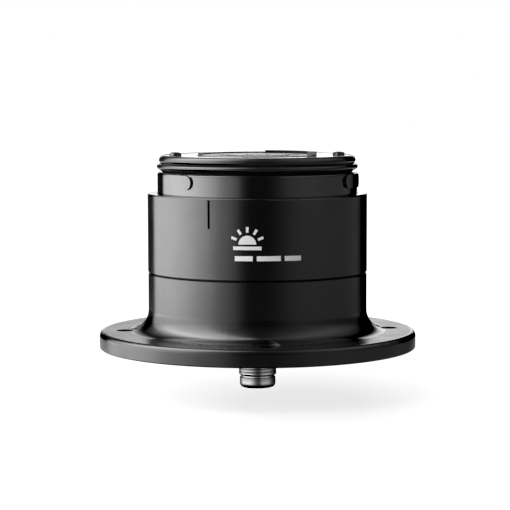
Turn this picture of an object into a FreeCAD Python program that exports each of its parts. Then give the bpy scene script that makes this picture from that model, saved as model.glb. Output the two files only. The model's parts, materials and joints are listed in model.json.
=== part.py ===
"""Flange-mounted base of a modular signal tower, with an M12 plug under its flange.

Millimetres. The origin is the centre of the flange's underside, +Z runs up the tower axis and
the front is -Y. An azimuth is an angle about +Z counted from the front, positive towards +X.
"""
import FreeCAD, Part
import math
import os

V = FreeCAD.Vector
UP = V(0, 0, 1)

# Mounting flange and lower shell
FLANGE_RADIUS = 50.6
FLANGE_THICKNESS = 5.4
FLANGE_EDGE = 1.5
FILLET_RADIUS = 6.8
HOLE_CIRCLE_RADIUS = 42.5
HOLE_RADIUS = 2.7
HOLE_SPOT_RADIUS = 4.9
HOLE_AZIMUTHS = (0, 90, 180, 270)
LOWER_RADIUS = 34.9
LOWER_TOP = 24.0
FLOOR_TOP = 3.2
FLANGE_SEAL_RADIUS = 34.5
FLANGE_SEAL_SECTION = 0.7

# Upper shell
SEAM_GAP = 0.3
UPPER_RADIUS = 35.0
UPPER_BOTTOM = LOWER_TOP + SEAM_GAP
UPPER_TOP = 49.3
SHELL_BORE = 32.1
LUG_CHAMBER = 33.2
UPPER_EDGE = 0.5
MARK_AZIMUTH = -28.6
MARK_WIDTH = 1.1
MARK_DEPTH = 0.8
MARK_BOTTOM = 40.0
MARK_TOP = 48.7
PRINT_THICKNESS = 0.1
SIGN_AZIMUTH = -8.9
SIGN_LAMP_FOOT = 35.5
SIGN_LAMP_RADIUS = 2.7
SIGN_BASE_WIDTH = 8.6
SIGN_BASE_HEIGHT = 1.1
SIGN_BASE_DROP = 1.7
SIGN_RAY_WIDTH = 0.8
SIGN_RAY_LENGTH = 1.7
SIGN_RAY_GAP = 0.9
SIGN_RAY_ANGLES = (-66, -33, 0, 33, 66)
SIGN_LINE_LOW = 30.45
SIGN_LINE_HIGH = 31.95
SIGN_DASHES = ((-15.2, -6.2), (-4.2, 7.8), (9.8, 18.3))

# Bayonet collar, the same at both joints; heights count from the ledge that it stands on
COLLAR_RADIUS = 31.85
COLLAR_SPIGOT_RADIUS = 32.05
COLLAR_BORE = 28.9
COLLAR_SPIGOT_DEPTH = 8.0
COLLAR_TOP = 6.8
COLLAR_EDGE = 0.7
NECK_RADIUS = 29.6
NECK_BORE = 28.3
NECK_TOP = 12.0
SEAT_HEIGHT = 9.1
SEAT_BORE = 23.6
SEAT_DEPTH = 3.5
LUG_RADIUS = 32.6
LUG_BOTTOM = 2.1
LUG_TOP = 6.5
LUG_HALF_ANGLE = 11.4
LUG_AZIMUTHS = (-54.4, 65.6, 185.6)
CATCH_HALF_ANGLE = 10.5
STOP_GAP_ANGLE = 0.5
STOP_WIDTH_ANGLE = 3.5

# Lip seal outline, as radius and height over the same ledge
SEAL_FOOT_RADIUS = 30.3
SEAL_LIP_LOW = (31.5, 7.75)
SEAL_LIP_CREST = (32.03, 8.55)
SEAL_LIP_HIGH = (31.45, 9.35)
SEAL_GROOVE = (30.8, 9.7)
SEAL_DOME_LOW = (31.2, 10.0)
SEAL_DOME_SIDE = (31.35, 10.4)
SEAL_DOME_SHOULDER = (31.05, 11.45)
SEAL_DOME_TOP = (30.2, 12.1)

# Boards and screws
SEAT_SCREW_CIRCLE = 26.1
SEAT_SCREW_AZIMUTHS = (-90, 90)
SEAT_SCREW_HEAD_RADIUS = 1.9
SEAT_SCREW_HEAD_HEIGHT = 1.0
SEAT_SCREW_RADIUS = 1.0
SEAT_SCREW_LENGTH = 5.0
SEAT_HOLE_DEPTH = 4.2
BOARD_THICKNESS = 1.6
SEAT_PLATE_RADIUS = 28.1
MAIN_BOARD_RADIUS = 29.0
MAIN_BOARD_BOTTOM = 38.4
POST_CIRCLE = 26.6
POST_RADIUS = 2.5
POST_AZIMUTHS = (0, 120, 240)
BOARD_SCREW_RADIUS = 1.25
BOARD_SCREW_HEAD_RADIUS = 2.1
BOARD_SCREW_HEAD_HEIGHT = 1.4
BOARD_SCREW_LENGTH = 6.0
TRACK_RADII = (6.0, 9.5, 13.0, 16.5, 20.0)
TRACK_WIDTH = 2.0
TRACK_THICKNESS = 0.1
STRIP_THICKNESS = 0.2
STRIP_WIDTH = 1.2
STRIP_FIRST_AZIMUTH = 30
STRIP_STEP = 72
DIODE_LENGTH = 2.6
DIODE_WIDTH = 1.6
DIODE_HEIGHT = 1.1
DIODE_LEAD_LENGTH = 4.0
DIODE_LEAD_WIDTH = 0.8
DIODE_LEAD_THICKNESS = 0.25
DIODE_CIRCLE = 17.0

# Contact carrier and its sprung pins
CARRIER_PLATE_TOP = 61.3
ISLAND_RADIUS = 19.2
ISLAND_TOP = 61.5
ISLAND_EDGE = 0.25
PIN_TROUGH_INNER = 9.4
PIN_TROUGH_OUTER = 14.6
PIN_TROUGH_HALF_ANGLE = 76
PIN_TROUGH_DEPTH = 0.7
SCREW_BOSS_RADIUS = 3.0
BOSS_GROOVE_WIDTH = 1.0
BOSS_GROOVE_DEPTH = 0.5
KEY_DEPTH = 2.75
WALL_THICKNESS = 1.5
BACK_WALL_TOP = 62.3
BACK_WALL_AZIMUTHS = (84.5, 167.5)
SIDE_WALL_TOP = 61.85
SIDE_WALL_AZIMUTHS = (167.0, 266.0)
KEY_TOP = 62.5
KEY_AZIMUTHS = (73.3, 84)
PIN_CIRCLE = 12.0
PIN_AZIMUTHS = (-64, -32, 0, 32, 64)
PIN_HEAD_RADIUS = 1.2
PIN_SHOULDER_RADIUS = 1.7
PIN_STEM_RADIUS = 0.8
PIN_CLEARANCE = 0.05
PIN_TRAVEL = 1.2
PIN_SHOULDER_BOTTOM = 58.0
PIN_SHOULDER_TOP = 59.0
PIN_TIP = 61.35
CHAMBER_RADIUS = 1.9
CHAMBER_WALL = 0.8
RETAINER_TOP = 52.5
RETAINER_THICKNESS = 1.5
RETAINER_RADIUS = 16.5
TERMINAL_HEAD = 0.4
TERMINAL_RADIUS = 0.4
SPRING_RADIUS = 1.3
SPRING_WIRE = 0.15
SPRING_TURNS = 6

# M12 plug
PLUG_RADIUS = 6.0
PLUG_GROOVE_RADIUS = 5.3
PLUG_NOSE_RADIUS = 5.72
PLUG_NOSE_EDGE = 0.7
PLUG_NECK_RADIUS = 5.6
PLUG_THREAD_TOP = -0.3
PLUG_THREAD_BOTTOM = -8.8
PLUG_NOSE_TOP = -9.9
PLUG_BOTTOM = -13.2
PLUG_CUP_RADIUS = 4.35
PLUG_CUP_TOP = -3.6
PLUG_BORE = 5.0
PLUG_FLANGE_RADIUS = 7.9
PLUG_FLANGE_BOTTOM = 3.9
PLUG_FLANGE_TOP = 5.9
PLUG_BOSS_RADIUS = 12.0
PLUG_BOSS_TOP = 10.4
PLUG_BOSS_BORE = 8.4
PLUG_SEAT = 3.0
PLUG_RIB_WIDTH = 1.0
INSERT_SHOULDER_RADIUS = 6.6
INSERT_SHOULDER_TOP = 7.1
INSERT_TOP_RADIUS = 4.9
LOCK_RING_BORE = 5.2
LOCK_SLOT_WIDTH = 1.6
LOCK_SLOT_DEPTH = 1.2
PLUG_PIN_RADIUS = 0.5
PLUG_PIN_CIRCLE = 2.4
PLUG_PIN_AZIMUTHS = (45, 135, 225, 315)
PLUG_PIN_BOTTOM = -12.0
SOLDER_CUP_BOTTOM = 8.8
SOLDER_CUP_TOP = 12.0
SOLDER_CUP_RADIUS = 0.8
WIRE_RADIUS = 0.65
WIRE_SPREAD = 11.0
WIRE_RISE = 4.5
WIRE_BEND_SHARE = 0.45

CLEAR = 0.05


def direction(azimuth):
    """Unit vector that points outwards at an azimuth."""
    angle = math.radians(azimuth)
    return V(math.sin(angle), -math.cos(angle), 0)


def lathe(first, *steps):
    """Turned solid about the axis. A step is a line to (r, z), or an arc through (r, z) to (r, z)."""
    edges = []
    start = V(first[0], 0, first[1])
    for step in steps + (first,):
        end = V(step[-2], 0, step[-1])
        if len(step) == 4:
            edges.append(Part.Arc(start, V(step[0], 0, step[1]), end).toShape())
        else:
            edges.append(Part.LineSegment(start, end).toShape())
        start = end
    return Part.Face(Part.Wire(edges)).revolve(V(), UP, 360)


def cylinder(radius, low, high, azimuth=0, reach=0):
    """Upright cylinder whose axis stands at a distance from the tower axis."""
    return Part.makeCylinder(radius, high - low, direction(azimuth) * reach + UP * low)


def ring(inner, outer, low, high):
    """Flat ring about the tower axis."""
    return cylinder(outer, low, high).cut(cylinder(inner, low, high))


def sector(inner, outer, low, high, start, stop):
    """Part of a ring between two azimuths."""
    def corner(radius, azimuth):
        return direction(azimuth) * radius + UP * low

    middle = (start + stop) / 2
    edges = [
        Part.Arc(corner(outer, start), corner(outer, middle), corner(outer, stop)).toShape(),
        Part.LineSegment(corner(outer, stop), corner(inner, stop)).toShape(),
        Part.Arc(corner(inner, stop), corner(inner, middle), corner(inner, start)).toShape(),
        Part.LineSegment(corner(inner, start), corner(outer, start)).toShape(),
    ]
    return Part.Face(Part.Wire(edges)).extrude(UP * (high - low))


def place(shape, azimuth, reach):
    """Move a shape that was made on the tower axis out to a place beside it."""
    moved = shape.copy()
    moved.translate(direction(azimuth) * reach)
    return moved


def place_up(shape, height):
    """Move a shape up the tower axis."""
    moved = shape.copy()
    moved.translate(UP * height)
    return moved


def turn(shape, azimuth):
    """Turn a shape that was made at the front to an azimuth."""
    turned = shape.copy()
    turned.rotate(V(), UP, azimuth)
    return turned


def drill(body, radius, circle, azimuths):
    """Cut upright through holes on a circle about the tower axis."""
    for azimuth in azimuths:
        body = body.cut(cylinder(radius, -100, 100, azimuth, circle))
    return body


def group(solids):
    """Separate solids that share one node."""
    return Part.makeCompound(list(solids))


def fillet_circles(shape, radius, height, amount):
    """Round the circular edges about the tower axis that have this radius and height."""
    edges = []
    for edge in shape.Edges:
        if not isinstance(edge.Curve, Part.Circle):
            continue
        centre = edge.Curve.Center
        on_axis = math.hypot(centre.x, centre.y) < 0.01
        if on_axis and abs(edge.Curve.Radius - radius) < 0.01 and abs(centre.z - height) < 0.01:
            edges.append(edge)
    return shape.makeFillet(amount, edges)


def pan_screw(head_radius, head_height, radius, length, seat):
    """Pan-head screw on the tower axis, head up, with a cross recess."""
    crown = 0.35 * head_height
    screw = lathe(
        (0, seat - length), (radius * 0.6, seat - length), (radius, seat - length + radius),
        (radius, seat), (head_radius, seat), (head_radius, seat + head_height - crown),
        (head_radius * 0.75, seat + head_height - crown * 0.3, head_radius * 0.35, seat + head_height),
        (0, seat + head_height))
    slot = Part.makeBox(head_radius * 1.1, head_radius * 0.3, head_height, V(
        -head_radius * 0.55, -head_radius * 0.15, seat + head_height * 0.5))
    return screw.cut(slot.fuse(turn(slot, 90)))


# ---------------------------------------------------------------- mounting flange

def flange_base():
    """Mounting flange, its fillet and the lower shell, with the boss that holds the plug."""
    fillet_centre = LOWER_RADIUS + FILLET_RADIUS
    fillet_top = FLANGE_THICKNESS + FILLET_RADIUS
    diagonal = FILLET_RADIUS * math.sqrt(0.5)
    edge_bulge = FLANGE_EDGE * (1 - math.sqrt(0.5))
    body = lathe(
        (PLUG_BOSS_BORE, 0), (FLANGE_RADIUS - 0.3, 0), (FLANGE_RADIUS, 0.3),
        (FLANGE_RADIUS, FLANGE_THICKNESS - FLANGE_EDGE),
        (FLANGE_RADIUS - edge_bulge, FLANGE_THICKNESS - edge_bulge,
         FLANGE_RADIUS - FLANGE_EDGE, FLANGE_THICKNESS),
        (fillet_centre, FLANGE_THICKNESS),
        (fillet_centre - diagonal, fillet_top - diagonal, LOWER_RADIUS, fillet_top),
        (LOWER_RADIUS, LOWER_TOP - 0.3), (LOWER_RADIUS - 0.3, LOWER_TOP), (SHELL_BORE, LOWER_TOP),
        (SHELL_BORE, FLOOR_TOP + 1.5), (SHELL_BORE - 1.5, FLOOR_TOP), (PLUG_BOSS_RADIUS, FLOOR_TOP),
        (PLUG_BOSS_RADIUS, PLUG_BOSS_TOP), (PLUG_BOSS_BORE, PLUG_BOSS_TOP))
    body = body.fuse(ring(PLUG_RADIUS + CLEAR, PLUG_BOSS_BORE, 0, PLUG_SEAT))
    groove_width = 2 * FLANGE_SEAL_SECTION + 0.4
    body = body.cut(ring(
        FLANGE_SEAL_RADIUS - groove_width / 2, FLANGE_SEAL_RADIUS + groove_width / 2, 0, 1.5))
    body = drill(body, HOLE_RADIUS, HOLE_CIRCLE_RADIUS, HOLE_AZIMUTHS)
    for azimuth in HOLE_AZIMUTHS:
        body = body.cut(cylinder(
            HOLE_SPOT_RADIUS, FLANGE_THICKNESS, LOWER_TOP, azimuth, HOLE_CIRCLE_RADIUS))
    return body.removeSplitter()


def flange_seal():
    """Round seal in the groove of the flange's underside."""
    return Part.makeTorus(FLANGE_SEAL_RADIUS, FLANGE_SEAL_SECTION, V(0, 0, FLANGE_SEAL_SECTION + 0.03))


# ---------------------------------------------------------------- bayonet collars and seals

def lug(ledge):
    """Bayonet lug with round ends, at the front."""
    half_height = (LUG_TOP - LUG_BOTTOM) / 2
    middle = ledge + LUG_BOTTOM + half_height
    end_angle = LUG_HALF_ANGLE - math.degrees(half_height / LUG_RADIUS)
    outline = sector(20, 40, middle - half_height, middle + half_height, -end_angle, end_angle)
    for angle in (-end_angle, end_angle):
        outline = outline.fuse(Part.makeCylinder(half_height, 40, UP * middle, direction(angle)))
    return ring(COLLAR_RADIUS - 0.6, LUG_RADIUS, middle - half_height, middle + half_height).common(outline)


def bayonet_collar(ledge, posts=()):
    """Collar with three lugs, a neck for the lip seal and a seat for a board or carrier."""
    top = ledge + COLLAR_TOP
    bulge = COLLAR_EDGE * (1 - math.sqrt(0.5))
    body = lathe(
        (COLLAR_BORE, ledge - COLLAR_SPIGOT_DEPTH), (COLLAR_SPIGOT_RADIUS, ledge - COLLAR_SPIGOT_DEPTH),
        (COLLAR_SPIGOT_RADIUS, ledge - 0.3), (COLLAR_RADIUS, ledge),
        (COLLAR_RADIUS, top - COLLAR_EDGE),
        (COLLAR_RADIUS - bulge, top - bulge, COLLAR_RADIUS - COLLAR_EDGE, top),
        (NECK_RADIUS, top), (NECK_RADIUS, ledge + NECK_TOP),
        (NECK_BORE, ledge + NECK_TOP), (NECK_BORE, ledge + SEAT_HEIGHT), (SEAT_BORE, ledge + SEAT_HEIGHT),
        (SEAT_BORE, ledge + SEAT_HEIGHT - SEAT_DEPTH),
        (COLLAR_BORE, ledge + SEAT_HEIGHT - SEAT_DEPTH - 3.0))
    for azimuth in LUG_AZIMUTHS:
        body = body.fuse(turn(lug(ledge), azimuth))
    for azimuth in posts:
        post_bottom = MAIN_BOARD_BOTTOM + BOARD_THICKNESS
        body = body.fuse(cylinder(POST_RADIUS, post_bottom, ledge + SEAT_HEIGHT - 1, azimuth, POST_CIRCLE))
        body = body.cut(cylinder(
            BOARD_SCREW_RADIUS, post_bottom, post_bottom + BOARD_SCREW_LENGTH, azimuth, POST_CIRCLE))
    for azimuth in SEAT_SCREW_AZIMUTHS:
        seat = ledge + SEAT_HEIGHT
        body = body.cut(cylinder(
            SEAT_SCREW_RADIUS, seat - SEAT_HOLE_DEPTH, seat + 1, azimuth, SEAT_SCREW_CIRCLE))
    return body.removeSplitter()


def lip_seal(ledge):
    """Rubber ring round the neck, with a round lip over an undercut and a domed top lip."""
    foot = COLLAR_TOP + CLEAR
    seal = lathe(
        (NECK_RADIUS, foot), (SEAL_FOOT_RADIUS, foot), SEAL_LIP_LOW, SEAL_LIP_CREST + SEAL_LIP_HIGH,
        SEAL_GROOVE, SEAL_DOME_LOW, SEAL_DOME_SIDE, SEAL_DOME_SHOULDER + SEAL_DOME_TOP,
        (NECK_RADIUS, SEAL_DOME_TOP[1]))
    return place_up(seal, ledge)


# ---------------------------------------------------------------- upper module shell

def upper_shell():
    """Round shell of the connection module, with three catches that hook under the lower lugs."""
    bulge = UPPER_EDGE * (1 - math.sqrt(0.5))
    body = lathe(
        (LUG_CHAMBER, UPPER_BOTTOM), (UPPER_RADIUS - 0.25, UPPER_BOTTOM),
        (UPPER_RADIUS, UPPER_BOTTOM + 0.25), (UPPER_RADIUS, UPPER_TOP - UPPER_EDGE),
        (UPPER_RADIUS - bulge, UPPER_TOP - bulge, UPPER_RADIUS - UPPER_EDGE, UPPER_TOP),
        (SHELL_BORE, UPPER_TOP),
        (SHELL_BORE, LOWER_TOP + LUG_TOP + 1.4), (LUG_CHAMBER, LOWER_TOP + LUG_TOP + 0.4))
    catch_bore = COLLAR_RADIUS + 0.3
    catch_top = LOWER_TOP + LUG_BOTTOM - 0.3
    stop_start = LUG_HALF_ANGLE + STOP_GAP_ANGLE
    stop_end = stop_start + STOP_WIDTH_ANGLE
    for azimuth in LUG_AZIMUTHS:
        body = body.fuse(sector(
            catch_bore, LUG_CHAMBER + 0.3, UPPER_BOTTOM + 0.5, catch_top,
            azimuth - CATCH_HALF_ANGLE, azimuth + stop_end))
        body = body.fuse(sector(
            catch_bore, LUG_CHAMBER + 0.3, catch_top - 0.5, LOWER_TOP + LUG_TOP + 0.6,
            azimuth + stop_start, azimuth + stop_end))
    groove = Part.makeBox(
        MARK_WIDTH, 2 * MARK_DEPTH, MARK_TOP - MARK_BOTTOM,
        V(-MARK_WIDTH / 2, -UPPER_RADIUS - MARK_DEPTH, MARK_BOTTOM))
    return body.cut(turn(groove, MARK_AZIMUTH)).removeSplitter()


def front_print():
    """Plain printed sign on the shell's front: a shining lamp over a line in three dashes."""
    outer = UPPER_RADIUS + PRINT_THICKNESS
    skin = ring(UPPER_RADIUS, outer, UPPER_BOTTOM, UPPER_TOP)
    front_skin = skin.common(Part.makeBox(80, 40, 80, V(-40, -40, 0)))
    dome = Part.makeCylinder(SIGN_LAMP_RADIUS, 2 * UPPER_RADIUS, UP * SIGN_LAMP_FOOT, direction(0))
    dome = dome.common(Part.makeBox(20, 80, 20, V(-10, -40, SIGN_LAMP_FOOT)))
    base = Part.makeBox(
        SIGN_BASE_WIDTH, 80, SIGN_BASE_HEIGHT, V(-SIGN_BASE_WIDTH / 2, -40, SIGN_LAMP_FOOT - SIGN_BASE_DROP))
    shapes = [dome, base]
    for angle in SIGN_RAY_ANGLES:
        ray = Part.makeBox(
            SIGN_RAY_WIDTH, 80, SIGN_RAY_LENGTH,
            V(-SIGN_RAY_WIDTH / 2, -40, SIGN_LAMP_FOOT + SIGN_LAMP_RADIUS + SIGN_RAY_GAP))
        ray.rotate(UP * SIGN_LAMP_FOOT, V(0, 1, 0), angle)
        shapes.append(ray)
    prints = [turn(front_skin.common(shape), SIGN_AZIMUTH) for shape in shapes]
    for start, stop in SIGN_DASHES:
        prints.append(sector(UPPER_RADIUS, outer, SIGN_LINE_LOW, SIGN_LINE_HIGH, start, stop))
    return group(prints)


# ---------------------------------------------------------------- boards in the module

def ring_board():
    """Board on the lower collar's seat, with the round contact tracks on its top."""
    low = LOWER_TOP + SEAT_HEIGHT
    board = cylinder(SEAT_PLATE_RADIUS, low, low + BOARD_THICKNESS)
    return drill(board, SEAT_SCREW_RADIUS + CLEAR, SEAT_SCREW_CIRCLE, SEAT_SCREW_AZIMUTHS)


def ring_tracks():
    """Round contact tracks, one for each wire."""
    low = LOWER_TOP + SEAT_HEIGHT + BOARD_THICKNESS
    return group(
        ring(radius - TRACK_WIDTH / 2, radius + TRACK_WIDTH / 2, low, low + TRACK_THICKNESS)
        for radius in TRACK_RADII)


def main_board():
    """Board that carries the sliding contacts below and the terminal pins above."""
    board = cylinder(MAIN_BOARD_RADIUS, MAIN_BOARD_BOTTOM, MAIN_BOARD_BOTTOM + BOARD_THICKNESS)
    board = drill(board, BOARD_SCREW_RADIUS + CLEAR, POST_CIRCLE, POST_AZIMUTHS)
    return drill(board, TERMINAL_RADIUS + CLEAR, PIN_CIRCLE, PIN_AZIMUTHS)


def board_screws():
    """Screws that hold the main board to the upper collar's posts, heads down."""
    screw = pan_screw(
        BOARD_SCREW_HEAD_RADIUS, BOARD_SCREW_HEAD_HEIGHT, BOARD_SCREW_RADIUS,
        BOARD_SCREW_LENGTH, -MAIN_BOARD_BOTTOM)
    screw.rotate(V(), V(1, 0, 0), 180)
    return group(place(screw, azimuth, POST_CIRCLE) for azimuth in POST_AZIMUTHS)


def seat_screws(seat):
    """Pan-head screws that hold a board or carrier down on a collar's seat."""
    screw = pan_screw(
        SEAT_SCREW_HEAD_RADIUS, SEAT_SCREW_HEAD_HEIGHT, SEAT_SCREW_RADIUS, SEAT_SCREW_LENGTH, seat)
    return group(place(screw, azimuth, SEAT_SCREW_CIRCLE) for azimuth in SEAT_SCREW_AZIMUTHS)


def bent_strip(points, thickness, width):
    """Sheet-metal strip that follows points (x, z) and is centred on y = 0."""
    offsets = []
    for index, (x, z) in enumerate(points):
        before = points[max(index - 1, 0)]
        after = points[min(index + 1, len(points) - 1)]
        along = V(after[0] - before[0], 0, after[1] - before[1]).normalize()
        offsets.append(V(-along.z, 0, along.x) * (thickness / 2))
    middle = [V(x, -width / 2, z) for x, z in points]
    upper = [point + offset for point, offset in zip(middle, offsets)]
    lower = [point - offset for point, offset in zip(middle, offsets)]
    outline = upper + lower[::-1] + upper[:1]
    return Part.Face(Part.makePolygon(outline)).extrude(V(0, width, 0))


def sliding_contacts():
    """Leaf springs under the main board, each resting on one round track."""
    top = MAIN_BOARD_BOTTOM - STRIP_THICKNESS / 2 - 0.02
    tip = LOWER_TOP + SEAT_HEIGHT + BOARD_THICKNESS + TRACK_THICKNESS + STRIP_THICKNESS / 2 + 0.12
    strip = bent_strip(
        [(-3.6, top), (-1.4, top), (-0.8, top - 0.4), (1.2, tip + 0.5), (1.8, tip), (2.4, tip + 0.1),
         (3.0, tip + 0.8)], STRIP_THICKNESS, STRIP_WIDTH)
    return group(
        turn(place(strip, 0, radius), STRIP_FIRST_AZIMUTH + STRIP_STEP * index)
        for index, radius in enumerate(TRACK_RADII))


def suppressor_diodes():
    """Small protection diodes on the main board, one beside each terminal pin."""
    low = MAIN_BOARD_BOTTOM + BOARD_THICKNESS
    body = Part.makeBox(
        DIODE_LENGTH, DIODE_WIDTH, DIODE_HEIGHT, V(-DIODE_LENGTH / 2, -DIODE_WIDTH / 2, low))
    leads = Part.makeBox(
        DIODE_LEAD_LENGTH, DIODE_LEAD_WIDTH, DIODE_LEAD_THICKNESS,
        V(-DIODE_LEAD_LENGTH / 2, -DIODE_LEAD_WIDTH / 2, low))
    diode = body.fuse(leads).removeSplitter()
    return group(turn(place(diode, 0, DIODE_CIRCLE), azimuth) for azimuth in PIN_AZIMUTHS)


# ---------------------------------------------------------------- contact carrier

def contact_carrier():
    """Top plate with the raised contact island and the chambers of the sprung pins."""
    bottom = UPPER_TOP + SEAT_HEIGHT + CLEAR
    plate = cylinder(SEAT_PLATE_RADIUS, bottom, CARRIER_PLATE_TOP)
    island = cylinder(ISLAND_RADIUS, bottom, ISLAND_TOP)
    body = plate.fuse(fillet_circles(island, ISLAND_RADIUS, ISLAND_TOP, ISLAND_EDGE))
    wall_radius = ISLAND_RADIUS - 0.3
    for top, azimuths in ((BACK_WALL_TOP, BACK_WALL_AZIMUTHS), (SIDE_WALL_TOP, SIDE_WALL_AZIMUTHS)):
        body = body.fuse(sector(
            wall_radius - WALL_THICKNESS, wall_radius, ISLAND_TOP - 0.5, top, *azimuths))
    body = body.cut(sector(
        PIN_TROUGH_INNER, PIN_TROUGH_OUTER, ISLAND_TOP - PIN_TROUGH_DEPTH, ISLAND_TOP + 1,
        -PIN_TROUGH_HALF_ANGLE, PIN_TROUGH_HALF_ANGLE))
    body = body.cut(ring(
        SCREW_BOSS_RADIUS, SCREW_BOSS_RADIUS + BOSS_GROOVE_WIDTH, ISLAND_TOP - BOSS_GROOVE_DEPTH,
        ISLAND_TOP + 1))
    body = body.fuse(cylinder(SCREW_BOSS_RADIUS, RETAINER_TOP, bottom))
    chamber_top = PIN_SHOULDER_TOP + 0.1
    for azimuth in PIN_AZIMUTHS:
        tower = cylinder(CHAMBER_RADIUS + CHAMBER_WALL, RETAINER_TOP, bottom + 0.5, azimuth, PIN_CIRCLE)
        bore = cylinder(CHAMBER_RADIUS, RETAINER_TOP, chamber_top, azimuth, PIN_CIRCLE)
        mouth = cylinder(PIN_HEAD_RADIUS + PIN_CLEARANCE, RETAINER_TOP, 63, azimuth, PIN_CIRCLE)
        body = body.fuse(tower).cut(bore).cut(mouth)
    body = drill(body, SEAT_SCREW_RADIUS + CLEAR, SEAT_SCREW_CIRCLE, SEAT_SCREW_AZIMUTHS)
    body = body.cut(cylinder(BOARD_SCREW_RADIUS, RETAINER_TOP - 1, RETAINER_TOP + 5))
    return body.removeSplitter()


def coding_key():
    """Pale block on the island that lets a module sit down one way round only."""
    outer = ISLAND_RADIUS - ISLAND_EDGE
    return sector(outer - KEY_DEPTH, outer, ISLAND_TOP, KEY_TOP, *KEY_AZIMUTHS)


def contact_pin():
    """Stepped sprung pin with a domed tip, on the tower axis."""
    stem_bottom = PIN_SHOULDER_BOTTOM - 2.6
    dome_start = PIN_TIP - 0.6
    return lathe(
        (0, stem_bottom), (PIN_STEM_RADIUS, stem_bottom), (PIN_STEM_RADIUS, PIN_SHOULDER_BOTTOM),
        (PIN_SHOULDER_RADIUS, PIN_SHOULDER_BOTTOM), (PIN_SHOULDER_RADIUS, PIN_SHOULDER_TOP),
        (PIN_HEAD_RADIUS, PIN_SHOULDER_TOP), (PIN_HEAD_RADIUS, dome_start),
        (PIN_HEAD_RADIUS * 0.8, PIN_TIP - 0.2, PIN_HEAD_RADIUS * 0.3, PIN_TIP), (0, PIN_TIP))


def contact_spring():
    """Coil spring between a terminal pin's head and a contact pin's shoulder.

    Its wire is square, with the section area of a round wire of radius SPRING_WIRE.
    """
    low = RETAINER_TOP + TERMINAL_HEAD + SPRING_WIRE + 0.02
    high = PIN_SHOULDER_BOTTOM - SPRING_WIRE - 0.02
    helix = Part.makeHelix((high - low) / SPRING_TURNS, high - low, SPRING_RADIUS)
    helix.translate(UP * low)
    half = SPRING_WIRE * math.sqrt(math.pi) / 2
    corners = [(-half, -half), (half, -half), (half, half), (-half, half), (-half, -half)]
    section = Part.makePolygon([V(SPRING_RADIUS + x, 0, low + z) for x, z in corners])
    return Part.Wire(helix).makePipeShell([section], True, True)


def pin_retainer():
    """Plate that closes the chambers from below."""
    low = RETAINER_TOP - RETAINER_THICKNESS
    plate = cylinder(RETAINER_RADIUS, low, RETAINER_TOP)
    plate = drill(plate, TERMINAL_RADIUS + CLEAR, PIN_CIRCLE, PIN_AZIMUTHS)
    return drill(plate, BOARD_SCREW_RADIUS + CLEAR, 0, (0,))


def retainer_screw():
    """Screw at the centre of the retainer, head down."""
    seat = RETAINER_TOP - RETAINER_THICKNESS
    screw = pan_screw(
        BOARD_SCREW_HEAD_RADIUS, BOARD_SCREW_HEAD_HEIGHT, BOARD_SCREW_RADIUS, BOARD_SCREW_LENGTH, -seat)
    screw.rotate(V(), V(1, 0, 0), 180)
    return screw


def terminal_pins():
    """Headed pins that lead from the springs down into the main board."""
    pin = lathe(
        (0, MAIN_BOARD_BOTTOM - 1.0), (TERMINAL_RADIUS, MAIN_BOARD_BOTTOM - 1.0),
        (TERMINAL_RADIUS, RETAINER_TOP), (PIN_SHOULDER_RADIUS, RETAINER_TOP),
        (PIN_SHOULDER_RADIUS, RETAINER_TOP + TERMINAL_HEAD), (0, RETAINER_TOP + TERMINAL_HEAD))
    return group(place(pin, azimuth, PIN_CIRCLE) for azimuth in PIN_AZIMUTHS)


# ---------------------------------------------------------------- M12 plug

def plug_shell():
    """Threaded metal shell of the plug, drawn at its full thread diameter, with its key rib."""
    body = lathe(
        (PLUG_CUP_RADIUS, PLUG_BOTTOM), (PLUG_NOSE_RADIUS - PLUG_NOSE_EDGE, PLUG_BOTTOM),
        (PLUG_NOSE_RADIUS - PLUG_NOSE_EDGE * 0.3, PLUG_BOTTOM + PLUG_NOSE_EDGE * 0.3,
         PLUG_NOSE_RADIUS, PLUG_BOTTOM + PLUG_NOSE_EDGE),
        (PLUG_NOSE_RADIUS, PLUG_NOSE_TOP), (PLUG_GROOVE_RADIUS, PLUG_NOSE_TOP + 0.25),
        (PLUG_GROOVE_RADIUS, PLUG_THREAD_BOTTOM - 0.5), (PLUG_RADIUS, PLUG_THREAD_BOTTOM),
        (PLUG_RADIUS, PLUG_THREAD_TOP), (PLUG_NECK_RADIUS, PLUG_THREAD_TOP),
        (PLUG_NECK_RADIUS, PLUG_FLANGE_BOTTOM), (PLUG_FLANGE_RADIUS, PLUG_FLANGE_BOTTOM),
        (PLUG_FLANGE_RADIUS, PLUG_FLANGE_TOP), (PLUG_BORE + CLEAR, PLUG_FLANGE_TOP),
        (PLUG_BORE + CLEAR, PLUG_CUP_TOP), (PLUG_CUP_RADIUS, PLUG_CUP_TOP))
    rib = Part.makeBox(PLUG_RIB_WIDTH, PLUG_RIB_WIDTH, PLUG_CUP_TOP - PLUG_BOTTOM - 1.0, V(
        -PLUG_RIB_WIDTH / 2, -PLUG_CUP_RADIUS - 0.4, PLUG_BOTTOM + 1.0))
    return body.fuse(rib).removeSplitter()


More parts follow.
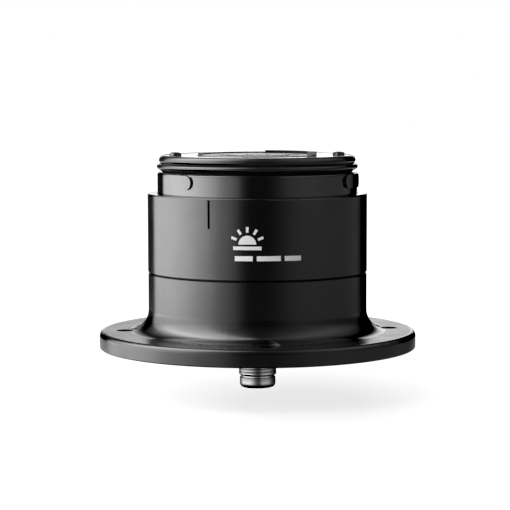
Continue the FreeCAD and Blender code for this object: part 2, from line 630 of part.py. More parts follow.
def plug_insert():
    """Insulating core that holds the plug's contacts."""
    body = lathe(
        (0, PLUG_CUP_TOP), (PLUG_BORE, PLUG_CUP_TOP), (PLUG_BORE, PLUG_FLANGE_TOP),
        (INSERT_SHOULDER_RADIUS, PLUG_FLANGE_TOP), (INSERT_SHOULDER_RADIUS, INSERT_SHOULDER_TOP),
        (INSERT_TOP_RADIUS, INSERT_SHOULDER_TOP), (INSERT_TOP_RADIUS, SOLDER_CUP_BOTTOM),
        (0, SOLDER_CUP_BOTTOM))
    body = drill(body, PLUG_PIN_RADIUS + 0.01, 0, (0,))
    return drill(body, PLUG_PIN_RADIUS + 0.01, PLUG_PIN_CIRCLE, PLUG_PIN_AZIMUTHS)


def plug_pins():
    """Plug contacts with a rounded tip below and a solder cup above."""
    pin = lathe(
        (0, PLUG_PIN_BOTTOM), (0.15, PLUG_PIN_BOTTOM),
        (0.4, PLUG_PIN_BOTTOM + 0.12, PLUG_PIN_RADIUS, PLUG_PIN_BOTTOM + 0.45),
        (PLUG_PIN_RADIUS, SOLDER_CUP_BOTTOM), (SOLDER_CUP_RADIUS, SOLDER_CUP_BOTTOM),
        (SOLDER_CUP_RADIUS, SOLDER_CUP_TOP), (0, SOLDER_CUP_TOP))
    return group([pin] + [place(pin, azimuth, PLUG_PIN_CIRCLE) for azimuth in PLUG_PIN_AZIMUTHS])


def plug_seal():
    """Round seal between the plug's flange and the boss's seat."""
    section = (PLUG_FLANGE_BOTTOM - PLUG_SEAT) / 2
    return Part.makeTorus(PLUG_RADIUS + 0.1 + section, section, V(0, 0, PLUG_SEAT + section))


def plug_lock_ring():
    """Threaded ring that presses the plug down on its seal, with two key slots."""
    low = INSERT_SHOULDER_TOP
    high = PLUG_BOSS_TOP - 0.4
    body = ring(LOCK_RING_BORE, PLUG_BOSS_BORE - CLEAR, low, high)
    slot = Part.makeBox(20, LOCK_SLOT_WIDTH, LOCK_SLOT_DEPTH, V(
        -10, -LOCK_SLOT_WIDTH / 2, high - LOCK_SLOT_DEPTH))
    return body.cut(slot)


def wire(start, finish):
    """Insulated wire that rises from a solder cup to the ring board in two long tangent bends."""
    low_bend = start + UP * WIRE_RISE
    high_bend = finish - UP * WIRE_RISE
    slope = (high_bend - low_bend).normalize()
    bend = math.acos(slope.z)
    reach = WIRE_BEND_SHARE * WIRE_RISE
    radius = reach / math.tan(bend / 2)
    edges = []
    at = start
    for corner, before, after in ((low_bend, UP, slope), (high_bend, slope, UP)):
        entry = corner - before * reach
        leave = corner + after * reach
        inward = (after - before).normalize()
        centre = corner + inward * (radius / math.cos(bend / 2))
        edges.append(Part.LineSegment(at, entry).toShape())
        edges.append(Part.Arc(entry, centre - inward * radius, leave).toShape())
        at = leave
    edges.append(Part.LineSegment(at, finish).toShape())
    section = Part.Wire(Part.makeCircle(WIRE_RADIUS, start, UP))
    return Part.Wire(edges).makePipeShell([section], True, False)


def wire_set():
    """The wires between the plug and the ring board."""
    top = LOWER_TOP + SEAT_HEIGHT
    wires = [wire(UP * SOLDER_CUP_TOP, direction(0) * WIRE_SPREAD + UP * top)]
    for azimuth in PLUG_PIN_AZIMUTHS:
        wires.append(wire(
            direction(azimuth) * PLUG_PIN_CIRCLE + UP * SOLDER_CUP_TOP,
            direction(azimuth) * WIRE_SPREAD + UP * top))
    return group(wires)


# ---------------------------------------------------------------- all nodes

nodes = {
    "flange_base": flange_base(),
    "flange_seal": flange_seal(),
    "lower_collar": bayonet_collar(LOWER_TOP),
    "lower_lip_seal": lip_seal(LOWER_TOP),
    "ring_board": ring_board(),
    "ring_tracks": ring_tracks(),
    "ring_board_screws": seat_screws(LOWER_TOP + SEAT_HEIGHT + BOARD_THICKNESS),
    "plug_shell": plug_shell(),
    "plug_insert": plug_insert(),
    "plug_pins": plug_pins(),
    "plug_seal": plug_seal(),
    "plug_lock_ring": plug_lock_ring(),
    "wire_set": wire_set(),
    "upper_shell": upper_shell(),
    "front_print": front_print(),
    "upper_collar": bayonet_collar(UPPER_TOP, POST_AZIMUTHS),
    "upper_lip_seal": lip_seal(UPPER_TOP),
    "main_board": main_board(),
    "board_screws": board_screws(),
    "sliding_contacts": sliding_contacts(),
    "suppressor_diodes": suppressor_diodes(),
    "contact_carrier": contact_carrier(),
    "carrier_screws": seat_screws(CARRIER_PLATE_TOP),
    "coding_key": coding_key(),
    "pin_retainer": pin_retainer(),
    "retainer_screw": retainer_screw(),
    "terminal_pins": terminal_pins(),
}
for number, pin_azimuth in enumerate(PIN_AZIMUTHS, start=1):
    nodes[f"contact_pin_{number}"] = place(contact_pin(), pin_azimuth, PIN_CIRCLE)
    nodes[f"contact_spring_{number}"] = place(contact_spring(), pin_azimuth, PIN_CIRCLE)

os.makedirs("parts", exist_ok=True)
for name, shape in nodes.items():
    print(f"{name:20s} solids {len(shape.Solids)} valid {shape.isValid()} volume {shape.Volume:9.2f}")
    shape.exportStep(f"parts/{name}.step")
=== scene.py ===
"""Looks of the signal tower base: materials, the plug's thread, the coil springs, stage, light, camera.

All lengths are in metres, except where a name or a comment says millimetres.
"""

import bpy
import json
import math
from mathutils import Matrix, Vector


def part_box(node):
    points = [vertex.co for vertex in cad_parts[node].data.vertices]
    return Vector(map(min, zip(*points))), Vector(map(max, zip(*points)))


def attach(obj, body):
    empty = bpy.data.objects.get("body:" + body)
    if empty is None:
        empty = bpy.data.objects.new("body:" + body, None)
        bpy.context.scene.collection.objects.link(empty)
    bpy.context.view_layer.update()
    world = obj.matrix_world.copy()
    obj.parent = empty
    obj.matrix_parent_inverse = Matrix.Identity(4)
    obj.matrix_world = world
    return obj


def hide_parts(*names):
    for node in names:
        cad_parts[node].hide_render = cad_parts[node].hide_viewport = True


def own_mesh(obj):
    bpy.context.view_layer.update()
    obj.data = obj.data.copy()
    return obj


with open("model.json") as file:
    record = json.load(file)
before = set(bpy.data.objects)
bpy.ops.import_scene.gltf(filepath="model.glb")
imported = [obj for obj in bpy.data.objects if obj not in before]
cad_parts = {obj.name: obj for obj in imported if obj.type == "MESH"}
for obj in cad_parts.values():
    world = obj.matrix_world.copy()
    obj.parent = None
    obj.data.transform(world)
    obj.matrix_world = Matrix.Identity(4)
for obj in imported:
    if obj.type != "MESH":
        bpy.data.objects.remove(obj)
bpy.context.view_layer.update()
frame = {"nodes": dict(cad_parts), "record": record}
NODES = frame["nodes"]


# ---------------------------------------------------------------- shader helpers

def new_node(tree, kind, **settings):
    made = tree.nodes.new(kind)
    for key, value in settings.items():
        setattr(made, key, value)
    return made


def math_node(tree, operation, first, second=None):
    """Math node on one or two inputs, each a number or another node's output."""
    made = new_node(tree, "ShaderNodeMath", operation=operation)
    for socket, value in zip(made.inputs, (first, second)):
        if value is None:
            continue
        if isinstance(value, (int, float)):
            socket.default_value = value
        else:
            tree.links.new(value, socket)
    return made.outputs[0]


def map_range(tree, value, low, high, from_low, from_high):
    """Map a value from one range onto another, held at both ends."""
    made = new_node(tree, "ShaderNodeMapRange")
    for key, number in (("From Min", from_low), ("From Max", from_high), ("To Min", low), ("To Max", high)):
        made.inputs[key].default_value = number
    tree.links.new(value, made.inputs["Value"])
    return made.outputs["Result"]


class Shader:
    """One material's node tree, with short calls for the nodes that the materials here share."""

    def __init__(self, name):
        self.material = bpy.data.materials.new(name)
        self.material.use_nodes = True
        self.tree = self.material.node_tree
        self.bsdf = self.tree.nodes["Principled BSDF"]
        self.place = self.node("ShaderNodeTexCoord").outputs["Object"]

    def node(self, kind, **settings):
        return new_node(self.tree, kind, **settings)

    def join(self, source, target):
        self.tree.links.new(source, target)

    def calculate(self, operation, first, second=None):
        return math_node(self.tree, operation, first, second)

    def noise(self, scale, detail=3.0, roughness=0.5):
        """Grey noise whose features are about 1/scale metres across."""
        made = self.node("ShaderNodeTexNoise")
        made.inputs["Scale"].default_value = scale
        made.inputs["Detail"].default_value = detail
        made.inputs["Roughness"].default_value = roughness
        self.join(self.place, made.inputs["Vector"])
        return made.outputs["Fac"]

    def spread(self, value, low, high, from_low=0.3, from_high=0.7):
        """Map a value onto a range; the usual source is noise, which mostly lies from 0.3 to 0.7."""
        return map_range(self.tree, value, low, high, from_low, from_high)

    def colours(self, value, low, high):
        """Blend two colours by a value from 0 to 1."""
        made = self.node("ShaderNodeMix", data_type="RGBA")
        made.inputs[6].default_value = (*low, 1)
        made.inputs[7].default_value = (*high, 1)
        self.join(value, made.inputs[0])
        return made.outputs[2]

    def bump(self, *layers):
        """Stack bump layers of (height, strength, distance in metres)."""
        normal = None
        for height, strength, distance in layers:
            made = self.node("ShaderNodeBump")
            made.inputs["Strength"].default_value = strength
            made.inputs["Distance"].default_value = distance
            self.join(height, made.inputs["Height"])
            if normal is not None:
                self.join(normal, made.inputs["Normal"])
            normal = made.outputs["Normal"]
        self.join(normal, self.bsdf.inputs["Normal"])

    def set(self, **numbers):
        """Set sockets of the surface shader; an underscore stands for a space."""
        for key, number in numbers.items():
            self.bsdf.inputs[key.replace("_", " ")].default_value = number


def float_curve(tree, value, points):
    """Smooth curve through (degrees, level) points of a value in degrees."""
    item = new_node(tree, "ShaderNodeFloatCurve")
    low, high = points[0][0], points[-1][0]
    top = max(level for _, level in points)
    line = item.mapping.curves[0]
    for index, (at, level) in enumerate(points):
        x = (at - low) / (high - low)
        if index < 2:
            line.points[index].location = (x, level / top)
        else:
            line.points.new(x, level / top)
    item.mapping.update()
    tree.links.new(map_range(tree, value, 0, 1, low, high), item.inputs["Value"])
    return math_node(tree, "MULTIPLY", item.outputs["Value"], top)


CLOUD_SCALE = 60
GLOSS_SCALE = 140
CLOUD_DEPTH = 4


def moulded_plastic(name, dark, light, rough_low, rough_high, grain, grain_depth, shine=0.5):
    """Moulded plastic: near-even colour, a fine spark-eroded grain and slight gloss clouds.

    The grain is a noise scale and a depth in metres; the shine is the specular level.
    """
    look = Shader(name)
    clouds = look.noise(CLOUD_SCALE, 4)
    fine = look.noise(grain, 2)
    look.join(look.colours(look.spread(clouds, 0, 1), dark, light), look.bsdf.inputs["Base Color"])
    look.join(look.spread(look.noise(GLOSS_SCALE, 3), rough_low, rough_high), look.bsdf.inputs["Roughness"])
    look.bump((fine, 0.5, grain_depth), (clouds, 0.2, grain_depth * CLOUD_DEPTH))
    look.set(Specular_IOR_Level=shine)
    return look.material


RUBBER_DARK = (0.004,) * 3
RUBBER_BLOOM = (0.010,) * 3
RUBBER_BLOOM_SCALE = 220
RUBBER_ROUGHNESS = (0.16, 0.24)
RUBBER_GRAIN_SCALE = 5000
RUBBER_GRAIN_DEPTH = 0.00001


def rubber(name):
    """Black rubber with a soft bloom."""
    look = Shader(name)
    bloom = look.noise(RUBBER_BLOOM_SCALE, 4, 0.6)
    look.join(look.colours(look.spread(bloom, 0, 1), RUBBER_DARK, RUBBER_BLOOM), look.bsdf.inputs["Base Color"])
    look.join(look.spread(bloom, *RUBBER_ROUGHNESS), look.bsdf.inputs["Roughness"])
    look.bump((look.noise(RUBBER_GRAIN_SCALE, 2), 0.3, RUBBER_GRAIN_DEPTH))
    return look.material


TARNISH_SCALE = 400
MARK_SCALE = 900
MARK_DEPTH = 0.000008


def metal(name, low, high, rough_low, rough_high):
    """Plated or drawn metal with faint tarnish clouds and fine marks."""
    look = Shader(name)
    clouds = look.noise(TARNISH_SCALE, 4, 0.6)
    look.set(Metallic=1.0)
    look.join(look.colours(look.spread(clouds, 0, 1), low, high), look.bsdf.inputs["Base Color"])
    look.join(look.spread(look.noise(MARK_SCALE, 3), rough_low, rough_high), look.bsdf.inputs["Roughness"])
    look.bump((look.noise(MARK_SCALE * 4, 2), 0.25, MARK_DEPTH))
    return look.material


BLACK = ((0.0025,) * 3, (0.0035,) * 3)
SHELL_GRAIN = (4500, 0.000002)
COLLAR_GRAIN = (3000, 0.000001)
MATERIALS = {
    "shell_plastic": moulded_plastic("shell_plastic", *BLACK, 0.13, 0.17, *SHELL_GRAIN),
    "collar_plastic": moulded_plastic("collar_plastic", *BLACK, 0.06, 0.09, *COLLAR_GRAIN, 0.66),
    # less shiny copy of the shell plastic for flat tops, darkening their reflections: painted shade
    "flat_top_painted_shade": moulded_plastic("flat_top_painted_shade", *BLACK, 0.25, 0.30, *SHELL_GRAIN, 0.3),
    # almost unshiny copy for the contact carrier's walls, so that they look black: painted shade
    "carrier_wall_painted_shade": moulded_plastic("carrier_wall_painted_shade", *BLACK, 0.45, 0.55, *SHELL_GRAIN, 0.08),
    "seal_rubber": rubber("seal_rubber"),
    "print_white": moulded_plastic("print_white", (0.80,) * 3, (0.88,) * 3, 0.35, 0.5, 6000, 0.000006),
    "key_plastic": moulded_plastic("key_plastic", (0.14,) * 3, (0.18,) * 3, 0.35, 0.45, 4000, 0.00001),
    "nickel": metal("nickel", (0.38,) * 3, (0.44,) * 3, 0.2, 0.27),
    "core_plastic": moulded_plastic("core_plastic", (0.008,) * 3, (0.012,) * 3, 0.15, 0.22, 4000, 0.00001),
    "contact_gold": metal("contact_gold", (0.80, 0.55, 0.20), (0.92, 0.68, 0.30), 0.16, 0.28),
    "board_laminate": moulded_plastic(
        "board_laminate", (0.005, 0.06, 0.024), (0.006, 0.07, 0.028), 0.25, 0.4, 2500, 0.000015),
    "board_tracks": metal("board_tracks", (0.75, 0.50, 0.18), (0.86, 0.62, 0.28), 0.2, 0.35),
    "screw_steel": metal("screw_steel", (0.10, 0.10, 0.10), (0.14, 0.14, 0.14), 0.25, 0.36),
    "spring_steel": metal("spring_steel", (0.52, 0.52, 0.53), (0.62, 0.62, 0.62), 0.18, 0.3),
    "wire_sleeve": moulded_plastic("wire_sleeve", (0.05,) * 3, (0.07,) * 3, 0.3, 0.4, 3000, 0.00001),
    "diode_plastic": moulded_plastic("diode_plastic", (0.010,) * 3, (0.014,) * 3, 0.4, 0.5, 5000, 0.00001),
}


# ---------------------------------------------------------------- materials onto the CAD nodes

SLOT_OF = {entry["node"]: entry["material_slot"] for entry in frame["record"]["subparts"]}
for node_name, node in NODES.items():
    node.data.materials.clear()
    node.data.materials.append(MATERIALS[SLOT_OF[node_name]])


def finish_faces(node_name, material, belongs):
    """Give the faces that pass a test on their centre and normal a second finish."""
    mesh = NODES[node_name].data
    mesh.materials.append(material)
    for face in mesh.polygons:
        if belongs(face.center, face.normal):
            face.material_index = len(mesh.materials) - 1


# upright shares of a face's normal
FLAT_TOP = 0.999
STEEP = 0.3
# between the carrier plate and the island on it
ISLAND_LEVEL = 0.0614
# the flange's flat top and the carrier island's top get the less shiny copy: painted shade
finish_faces("flange_base", MATERIALS["flat_top_painted_shade"], lambda centre, normal: normal.z > FLAT_TOP)
# the carrier's upright walls get the almost unshiny copy: painted shade
finish_faces("contact_carrier", MATERIALS["carrier_wall_painted_shade"], lambda centre, normal: abs(normal.z) < STEEP)
finish_faces("contact_carrier", MATERIALS["flat_top_painted_shade"],
             lambda centre, normal: normal.z > FLAT_TOP and centre.z > ISLAND_LEVEL)

WIRE_COLOURS = (("wire_brown", (0.09, 0.035, 0.015)), ("wire_white", (0.7, 0.7, 0.68)),
                ("wire_blue", (0.02, 0.07, 0.35)), ("wire_black", (0.008, 0.008, 0.008)))
PLUG_LOW, PLUG_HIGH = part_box("plug_shell")
PLUG_CENTRE = (PLUG_LOW + PLUG_HIGH) / 2
# the fifth wire starts on the plug's axis and goes to the front; it keeps the grey sleeve
CENTRE_WIRE = 0.0013
FRONT_TURN = 270
FRONT_WIRE = 29
BRIGHTER = 1.15
SLEEVE_GRAIN = (3000, 0.00001)


def wire_quarter(quarter):
    """Test that passes the faces of the wire in one quarter around the plug's axis."""
    def belongs(centre, normal):
        across, along = centre.x - PLUG_CENTRE.x, centre.y - PLUG_CENTRE.y
        turn = math.degrees(math.atan2(along, across)) % 360
        outside = math.hypot(across, along) > CENTRE_WIRE and abs(turn - FRONT_TURN) > FRONT_WIRE
        return outside and int(turn // 90) == quarter
    return belongs


for quarter, (colour_name, colour) in enumerate(WIRE_COLOURS):
    lighter = tuple(BRIGHTER * part for part in colour)
    sleeve = moulded_plastic(colour_name, colour, lighter, 0.3, 0.4, *SLEEVE_GRAIN)
    finish_faces("wire_set", sleeve, wire_quarter(quarter))

# ---------------------------------------------------------------- pieces in place of CAD nodes

MM = 0.001


def new_mesh(name, points, faces, material, crease=35):
    """Mesh object with smooth shading that keeps its edges above the crease angle sharp."""
    mesh = bpy.data.meshes.new(name)
    mesh.from_pydata(points, [], faces)
    mesh.validate()
    mesh.shade_smooth()
    mesh.set_sharp_from_angle(angle=math.radians(crease))
    mesh.materials.append(material)
    made = bpy.data.objects.new(name, mesh)
    bpy.context.scene.collection.objects.link(made)
    return made


def skin_rows(rows, closed_rows):
    """Points and quads over rows of points that each close on themselves; the last row may join the first."""
    count = len(rows[0])
    points = [point for row in rows for point in row]
    faces = []
    for index in range(len(rows) if closed_rows else len(rows) - 1):
        low = index * count
        high = (index + 1) % len(rows) * count
        for step in range(count):
            after = (step + 1) % count
            faces.append((low + step, low + after, high + after, high + step))
    return points, faces


# plug, in millimetres; heights count from the nose
PLUG_STEPS = 144
THREAD_RADIUS = 6.0
THREAD_PITCH = 1.0
THREAD_DEPTH = 0.09
THREAD_SHARPNESS = 5
THREAD_LOW = 4.4
THREAD_HIGH = 12.9
THREAD_FADE = 0.8
THREAD_LEVELS = 16
# outline in (radius, height) from the nose's inner edge up the outside to the thread ...
PLUG_BELOW_THREAD = (
    (4.35, 0.0), (4.55, 0.0), (4.85, 0.05), (5.15, 0.18), (5.42, 0.4), (5.62, 0.7), (5.70, 1.0), (5.72, 1.3),
    (5.72, 3.1), (5.66, 3.28), (5.5, 3.36), (5.3, 3.42), (5.3, 3.85), (5.6, 3.95), (5.9, 4.2))
# ... and from the thread over the flange and back down the cup
PLUG_ABOVE_THREAD = (
    (5.6, 12.95), (5.6, 17.1), (7.6, 17.1), (7.9, 17.3), (7.9, 18.9), (7.7, 19.1), (5.05, 19.1), (5.05, 9.6),
    (4.35, 9.6))
# opposite corners of the key rib inside the cup
RIB_LOW = (-0.5, -4.75, 1.0)
RIB_HIGH = (0.5, -3.75, 9.6)


def thread_radius(height, turn):
    """Radius of the rounded thread at a height and a share of a turn, fading out at both ends."""
    fade = min(1.0, (height - THREAD_LOW) / THREAD_FADE, (THREAD_HIGH - height) / THREAD_FADE)
    wave = 0.5 - 0.5 * math.cos(2 * math.pi * (height / THREAD_PITCH - turn))
    return THREAD_RADIUS - THREAD_DEPTH * max(fade, 0.0) * wave ** THREAD_SHARPNESS


def plug_place(x, y, height):
    """Point in metres for millimetres from the plug's axis and above its nose."""
    return (PLUG_CENTRE.x + x * MM, PLUG_CENTRE.y + y * MM, PLUG_LOW.z + height * MM)


def plug_point(radius, height, turn):
    angle = 2 * math.pi * turn
    return plug_place(radius * math.cos(angle), radius * math.sin(angle), height)


def threaded_plug():
    """The plug's metal shell with a helical thread, a rounded nose, a groove and a key rib."""
    turns = [step / PLUG_STEPS for step in range(PLUG_STEPS)]
    rows = [[plug_point(radius, height, turn) for turn in turns] for radius, height in PLUG_BELOW_THREAD]
    levels = round((THREAD_HIGH - THREAD_LOW) / THREAD_PITCH * THREAD_LEVELS)
    for level in range(levels + 1):
        height = THREAD_LOW + (THREAD_HIGH - THREAD_LOW) * level / levels
        rows.append([plug_point(thread_radius(height, turn), height, turn) for turn in turns])
    rows += [[plug_point(radius, height, turn) for turn in turns] for radius, height in PLUG_ABOVE_THREAD]
    points, faces = skin_rows(rows, True)
    base = len(points)
    left, front, bottom = RIB_LOW
    right, back, top = RIB_HIGH
    for height in (bottom, top):
        for x, y in ((left, front), (right, front), (right, back), (left, back)):
            points.append(plug_place(x, y, height))
    faces.append((base + 3, base + 2, base + 1, base))
    faces.append((base + 4, base + 5, base + 6, base + 7))
    for step in range(4):
        after = (step + 1) % 4
        faces.append((base + step, base + after, base + 4 + after, base + 4 + step))
    plug = new_mesh("plug_threaded_shell", points, faces, MATERIALS["nickel"])
    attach(plug, "mounting_base")
    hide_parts("plug_shell")


SPRING_COUNT = 5
SPRING_TURNS = 6
SPRING_CLOSED = 0.75
SPRING_CLOSED_SHARE = 0.06
SPRING_WIRE = 0.15 * MM
WIRE_SIDES = 12
COIL_STEPS = 40


def coil_height(turn):
    """Share of the spring's height at a turn; the end coils lie nearly flat."""
    open_turns = SPRING_TURNS - 2 * SPRING_CLOSED
    if turn < SPRING_CLOSED:
        return SPRING_CLOSED_SHARE * turn / SPRING_CLOSED
    if turn > SPRING_TURNS - SPRING_CLOSED:
        return 1 - SPRING_CLOSED_SHARE * (SPRING_TURNS - turn) / SPRING_CLOSED
    return SPRING_CLOSED_SHARE + (1 - 2 * SPRING_CLOSED_SHARE) * (turn - SPRING_CLOSED) / open_turns


def coil_spring(number):
    """Round-wire coil spring in the space of one CAD spring."""
    node = f"contact_spring_{number}"
    low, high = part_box(node)
    centre = (low + high) / 2
    reach = (high.x - low.x) / 2 - SPRING_WIRE
    bottom = low.z + SPRING_WIRE
    rise = high.z - low.z - 2 * SPRING_WIRE
    rows = []
    for step in range(SPRING_TURNS * COIL_STEPS + 1):
        turn = step / COIL_STEPS
        angle = 2 * math.pi * turn
        outwards = Vector((math.cos(angle), math.sin(angle), 0))
        middle = Vector((centre.x, centre.y, bottom + rise * coil_height(turn))) + outwards * reach
        row = []
        for side in range(WIRE_SIDES):
            around = 2 * math.pi * side / WIRE_SIDES
            upwards = Vector((0, 0, SPRING_WIRE * math.sin(around)))
            row.append(tuple(middle + outwards * SPRING_WIRE * math.cos(around) + upwards))
        rows.append(row)
    points, faces = skin_rows(rows, False)
    faces.append(tuple(range(WIRE_SIDES)))
    faces.append(tuple(reversed(range(len(points) - WIRE_SIDES, len(points)))))
    spring = new_mesh(f"contact_coil_{number}", points, faces, MATERIALS["spring_steel"])
    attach(spring, "connection_module")
    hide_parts(node)
    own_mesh(spring)


threaded_plug()
for spring_number in range(1, SPRING_COUNT + 1):
    coil_spring(spring_number)


# ---------------------------------------------------------------- stage

FLOOR_RADIUS = 3.0
FLOOR_HEIGHT = PLUG_LOW.z - 0.0002
FLOOR_COLOUR = (0.1, 0.1, 0.1, 1)
# the floor's own glow, and the oval around the object where it is weaker: a painted shadow
GLOW_IN_PAINTED_SHADOW = 0.79
GLOW_FAR = 0.98
PAINTED_SHADOW_CENTRE = (0.012, -0.026, 0.0)
PAINTED_SHADOW_SCALE = (1.0, 0.7, 0.0)
PAINTED_SHADOW_INNER = 0.018
PAINTED_SHADOW_OUTER = 0.050


def emission_floor():
    """Pale floor, bright enough that only the object's soft shadow shows on it, and brightest away from the
    object;
    its glow is dimmed in an oval around the object, a painted shadow."""
    look = Shader("stage_floor")
    tree = look.tree
    tree.nodes.remove(look.bsdf)
    diffuse = look.node("ShaderNodeBsdfDiffuse")
    diffuse.inputs["Color"].default_value = FLOOR_COLOUR
    distance = look.node("ShaderNodeVectorMath", operation="DISTANCE")
    scale = look.node("ShaderNodeVectorMath", operation="MULTIPLY")
    look.join(look.place, scale.inputs[0])
    scale.inputs[1].default_value = PAINTED_SHADOW_SCALE
    look.join(scale.outputs["Vector"], distance.inputs[0])
    distance.inputs[1].default_value = PAINTED_SHADOW_CENTRE
    glow = look.node("ShaderNodeEmission")
    # weaker glow in the oval near the object: painted shadow
    level = look.spread(distance.outputs["Value"], GLOW_IN_PAINTED_SHADOW, GLOW_FAR, PAINTED_SHADOW_INNER, PAINTED_SHADOW_OUTER)
    look.join(level, glow.inputs["Strength"])
    both = look.node("ShaderNodeAddShader")
    look.join(diffuse.outputs[0], both.inputs[0])
    look.join(glow.outputs[0], both.inputs[1])
    look.join(both.outputs[0], tree.nodes["Material Output"].inputs["Surface"])
    return look.material


def white_backdrop():
    """Even white behind everything."""
    material = bpy.data.materials.new("stage_backdrop")
    material.use_nodes = True
    tree = material.node_tree
    tree.nodes.clear()
    glow = tree.nodes.new("ShaderNodeEmission")
    glow.inputs["Strength"].default_value = 1.0
    out = tree.nodes.new("ShaderNodeOutputMaterial")
    tree.links.new(glow.outputs[0], out.inputs["Surface"])
    return material


def camera_only(thing):
    """The stage is seen by the camera, and neither lights nor mirrors in the object."""
    thing.visible_diffuse = False
    thing.visible_glossy = False
    thing.visible_transmission = False
    thing.visible_shadow = False


bpy.ops.mesh.primitive_circle_add(
    vertices=128, radius=FLOOR_RADIUS, fill_type="NGON", location=(0, 0, FLOOR_HEIGHT))
floor = bpy.context.object
floor.name = "stage_floor"
floor.data.materials.append(emission_floor())
camera_only(floor)

BACKDROP_RADIUS = 1.2 * FLOOR_RADIUS
bpy.ops.mesh.primitive_uv_sphere_add(segments=64, ring_count=32, radius=BACKDROP_RADIUS, location=(0, 0, 0))
backdrop = bpy.context.object
backdrop.name = "stage_backdrop"
backdrop.data.materials.append(white_backdrop())
camera_only(backdrop)


REFLECTOR_RADIUS = 0.026
REFLECTOR_STEPS = 72
REFLECTOR_LOW = FLOOR_HEIGHT - 0.020
REFLECTOR_HIGH = -0.001
# brightness by azimuth from the front, positive to the right, in degrees
REFLECTOR_GLOW = (
    (-180, 0.0), (-150, 0.0), (-137, 0.1), (-110, 1.3), (-90, 2.1), (-56, 2.1), (-30, 1.1), (-12, 0.25),
    (2, 0.1), (14, 0.4), (25, 0.9), (53, 0.9), (85, 0.2), (110, 0.02), (180, 0.0))
# it is dimmer above this stretch over the floor, and black below the second one
UPPER_SHARE = 0.45
UPPER_FADE = (FLOOR_HEIGHT, FLOOR_HEIGHT + 0.004)
LOWER_FADE = (FLOOR_HEIGHT - 0.004, FLOOR_HEIGHT - 0.0025)


def azimuth_degrees(tree, x, y):
    """Azimuth from the front (-Y), positive towards +X."""
    around = math_node(tree, "ARCTAN2", x, math_node(tree, "MULTIPLY", y, -1))
    return math_node(tree, "MULTIPLY", around, 180 / math.pi)


def plug_reflector():
    """Ring under the flange that only reflections see; it stands for the dim room around the plug."""
    rows = []
    for height in (REFLECTOR_LOW, REFLECTOR_HIGH):
        row = []
        for step in range(REFLECTOR_STEPS):
            angle = 2 * math.pi * step / REFLECTOR_STEPS
            row.append((REFLECTOR_RADIUS * math.sin(angle), -REFLECTOR_RADIUS * math.cos(angle), height))
        rows.append(row)
    points, faces = skin_rows(rows, False)
    look = Shader("stage_reflector")
    tree = look.tree
    tree.nodes.remove(look.bsdf)
    split = look.node("ShaderNodeSeparateXYZ")
    look.join(look.place, split.inputs[0])
    x, y, z = split.outputs
    level = float_curve(tree, azimuth_degrees(tree, x, y), REFLECTOR_GLOW)
    level = look.calculate("MULTIPLY", level, look.spread(z, 1.0, UPPER_SHARE, *UPPER_FADE))
    level = look.calculate("MULTIPLY", level, look.spread(z, 0.0, 1.0, *LOWER_FADE))
    glow = look.node("ShaderNodeEmission")
    look.join(level, glow.inputs["Strength"])
    look.join(glow.outputs[0], tree.nodes["Material Output"].inputs["Surface"])
    ring = new_mesh("stage_reflector", points, faces, look.material)
    ring.visible_camera = False
    ring.visible_diffuse = False
    ring.visible_shadow = False
    return ring


reflector = plug_reflector()


# ---------------------------------------------------------------- light

CAMERA_AZIMUTH = -3.8

# Each light is a curve of brightness by azimuth, in degrees from the camera's side and positive to its
# right, times a curve by elevation in degrees.
# near the horizon: a bright wall of light on the left with a sharp end, a weak one on the right
HORIZON_AROUND = (
    (-180, 0.0), (-165, 0.05), (-150, 0.08), (-143, 0.12), (-140, 0.4), (-137, 2.8), (-130, 4.6), (-117, 7.0),
    (-104, 9.3), (-90, 10.5), (-78, 10.3), (-67, 9.0), (-57, 7.4), (-48, 5.5), (-39, 3.3), (-30, 2.3),
    (-21, 1.1), (-15, 0.3), (-9, 0.08), (0, 0.06), (12, 0.08), (20, 0.18), (30, 0.4), (40, 0.6), (60, 0.7),
    (80, 0.6), (110, 0.42), (125, 0.35), (135, 0.1), (140, 0.0), (180, 0.0))
HORIZON_UP = (
    (-90, 0.0), (-8, 0.0), (-7.2, 0.55), (-6, 0.68), (-4.2, 0.8), (-2.5, 0.8), (-1.5, 0.7), (-0.5, 0.58),
    (12, 0.54), (20, 0.5), (30, 0.3), (45, 0.0), (90, 0.0))
# overhead: the same sides, softer
OVERHEAD_AROUND = (
    (-180, 0.0), (-165, 0.1), (-150, 0.8), (-139, 2.4), (-129, 5.0), (-120, 9.0), (-113, 10.3), (-100, 9.4),
    (-85, 8.5), (-65, 7.0), (-54, 4.8), (-48, 3.2), (-38, 1.8), (-25, 0.7), (-10, 0.15), (0, 0.1), (15, 0.15),
    (35, 0.35), (55, 0.6), (75, 0.85), (95, 1.0), (115, 0.7), (135, 0.3), (150, 0.1), (165, 0.0), (180, 0.0))
OVERHEAD_UP = (
    (-90, 0.0), (12, 0.0), (20, 0.15), (30, 0.5), (42, 0.9), (50, 1.0), (60, 1.0), (68, 0.9), (76, 0.6),
    (90, 0.4))
# light off the table, just below the horizon
TABLE_AROUND = (
    (-180, 0.6), (-152, 0.9), (-139, 1.5), (-125, 3.0), (-110, 4.0), (-90, 4.8), (-75, 3.4), (-57, 1.85),
    (-29, 0.85), (-15, 0.3), (-8, 0.1), (0, 0.08), (10, 0.1), (20, 0.18), (40, 0.28), (70, 0.32), (110, 0.25),
    (140, 0.15), (180, 0.6))
TABLE_UP = ((-90, 0.0), (-24, 0.0), (-16, 0.3), (-10, 1.0), (-7.6, 1.0), (-7.1, 0.0), (90, 0.0))
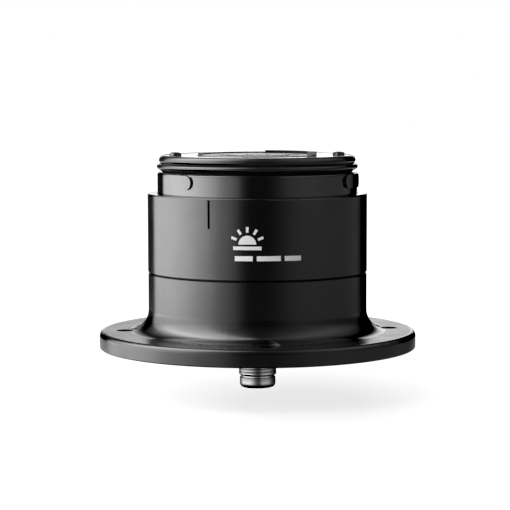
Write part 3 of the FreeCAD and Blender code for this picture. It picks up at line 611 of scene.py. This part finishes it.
# the white wall behind the object
WALL_AROUND = (
    (-180, 1.7), (-175, 1.3), (-168, 0.5), (-160, 0.0), (0, 0.0), (160, 0.0), (168, 0.7), (175, 1.8),
    (180, 1.7))
WALL_UP = ((-90, 0.0), (0, 0.0), (2, 1.0), (14, 1.0), (24, 0.3), (45, 0.0), (90, 0.0))
LIGHTS = (
    (HORIZON_AROUND, HORIZON_UP), (OVERHEAD_AROUND, OVERHEAD_UP), (TABLE_AROUND, TABLE_UP), (WALL_AROUND, WALL_UP))
# the same all round, from well below
BELOW_UP = ((-90, 0.0), (-50, 0.0), (-35, 0.35), (-15, 0.35), (-9, 0.0), (90, 0.0))


def world_light():
    """Soft studio light as a smooth pattern of direction."""
    world = bpy.data.worlds.new("studio")
    bpy.context.scene.world = world
    world.use_nodes = True
    tree = world.node_tree
    tree.nodes.clear()
    coordinates = new_node(tree, "ShaderNodeTexCoord")
    turned = new_node(tree, "ShaderNodeMapping", vector_type="POINT")
    turned.inputs["Rotation"].default_value = (0, 0, math.radians(-CAMERA_AZIMUTH))
    tree.links.new(coordinates.outputs["Generated"], turned.inputs["Vector"])
    split = new_node(tree, "ShaderNodeSeparateXYZ")
    tree.links.new(turned.outputs["Vector"], split.inputs["Vector"])
    x, y, z = split.outputs
    azimuth = azimuth_degrees(tree, x, y)
    elevation = math_node(tree, "MULTIPLY", math_node(tree, "ARCSINE", z), 180 / math.pi)
    level = float_curve(tree, elevation, BELOW_UP)
    for around, upwards in LIGHTS:
        light = math_node(
            tree, "MULTIPLY", float_curve(tree, azimuth, around), float_curve(tree, elevation, upwards))
        level = math_node(tree, "ADD", level, light)
    background = new_node(tree, "ShaderNodeBackground")
    tree.links.new(level, background.inputs["Strength"])
    background.inputs["Color"].default_value = (1, 1, 1, 1)
    out = new_node(tree, "ShaderNodeOutputWorld")
    tree.links.new(background.outputs[0], out.inputs["Surface"])


world_light()


# ---------------------------------------------------------------- camera

CAMERA_DISTANCE = 0.615
CAMERA_HEIGHT = 0.083
CAMERA_PITCH = math.radians(4.991)
CAMERA_ROLL = math.radians(-0.11)
CAMERA_SIDE = -0.00078
FOCAL_RATIO = 1926 / 510
SENSOR = 36.0


def add_camera():
    """Camera a little above the object and to its left, all but level left to right."""
    turn = math.radians(CAMERA_AZIMUTH)
    back = Vector((math.sin(turn), -math.cos(turn), 0))
    right = Vector((math.cos(turn), math.sin(turn), 0))
    data = bpy.data.cameras.new("camera")
    data.sensor_width = SENSOR
    data.lens = SENSOR * FOCAL_RATIO
    data.clip_start = 0.01
    data.clip_end = 20
    camera = bpy.data.objects.new("camera", data)
    camera.location = back * CAMERA_DISTANCE + right * CAMERA_SIDE + Vector((0, 0, CAMERA_HEIGHT))
    tilt = Matrix.Rotation(turn, 3, "Z") @ Matrix.Rotation(math.pi / 2 - CAMERA_PITCH, 3, "X")
    camera.rotation_euler = (tilt @ Matrix.Rotation(CAMERA_ROLL, 3, "Z")).to_euler()
    bpy.context.scene.collection.objects.link(camera)
    bpy.context.scene.camera = camera


add_camera()
bpy.context.scene.view_settings.view_transform = "Standard"
